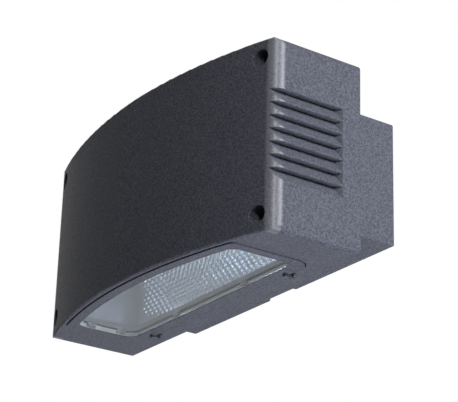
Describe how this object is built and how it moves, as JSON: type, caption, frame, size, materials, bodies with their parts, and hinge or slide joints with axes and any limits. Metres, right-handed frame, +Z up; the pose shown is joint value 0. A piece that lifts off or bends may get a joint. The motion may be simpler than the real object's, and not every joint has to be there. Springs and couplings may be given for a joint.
{
  "type": "outdoor wall light",
  "caption": "Shielded outdoor wall light: bowed front housing with side louvres, hinged lens door underneath, hammered reflector and a wall box behind.",
  "frame": {"origin": "centre of the wall box's back face, where the wall screws' pattern is centred", "axes": "+Y into the wall, -Y out over the ground, +X along the wall, +Z up"},
  "size_m": [0.404, 0.2005, 0.1983],
  "materials": {
    "powder_coat": "fine textured grey-black powder coat",
    "stainless": "plain stainless",
    "zinc_steel": "zinc plated sheet",
    "black_rubber": "matt seal rubber",
    "silicone": "pale silicone",
    "clear_glass": "clear tempered glass",
    "lamp_envelope": "clear lamp glass",
    "hammered_aluminium": "hammered specular sheet",
    "bright_aluminium": "plain bright sheet",
    "porcelain": "white glazed porcelain",
    "shell_brass": "nickelled brass",
    "base_metal": "rolled aluminium screw shell",
    "arc_ceramic": "translucent ceramic",
    "core_steel": "varnished laminations",
    "copper_winding": "varnished winding",
    "can_aluminium": "drawn can",
    "moulded_black": "moulded case",
    "terminal_white": "moulded white",
    "ground_green": "green dyed screw",
    "lead_sleeve": "silicone lead sleeve"
  },
  "bodies": {
    "light_body": {"front_housing": "powder_coat", "cover_screws": "stainless", "cover_screw_seals": "black_rubber", "back_plate": "bright_aluminium", "box_screws": "zinc_steel", "box_gasket": "black_rubber", "wall_box": "powder_coat", "supply_bushing": "black_rubber", "lead_grommet": "black_rubber", "latch_springs": "stainless", "hinge_pins": "stainless", "reflector_flange": "bright_aluminium", "reflector_trough": "hammered_aluminium", "reflector_front": "hammered_aluminium", "reflector_ends": "bright_aluminium", "reflector_brackets": "zinc_steel", "bracket_screws": "zinc_steel", "lampholder": "porcelain", "holder_shell": "shell_brass", "holder_bracket": "zinc_steel", "lamp_glass": "lamp_envelope", "lamp_base": "base_metal", "lamp_arc_tube": "arc_ceramic", "gear_tray": "zinc_steel", "tray_screws": "zinc_steel", "ballast_core": "core_steel", "ballast_coil": "copper_winding", "ballast_feet": "zinc_steel", "capacitor": "can_aluminium", "capacitor_clamp": "zinc_steel", "ignitor": "moulded_black", "terminal_block": "terminal_white", "ground_screw": "ground_green", "lamp_leads": "lead_sleeve"},
    "lens_door": {"door_frame": "powder_coat", "door_glass": "clear_glass", "glass_seal": "silicone", "glass_clips": "stainless", "clip_screws": "stainless", "door_gasket": "black_rubber", "latch_prongs": "stainless"}
  },
  "joints": [
    {"name": "lens_door_hinge", "type": "hinge", "parent": "light_body", "child": "lens_door", "pos_m": [0, -0.08275, -0.0988], "axis": [1, 0, 0], "range_deg": [0, 90]}
  ]
}
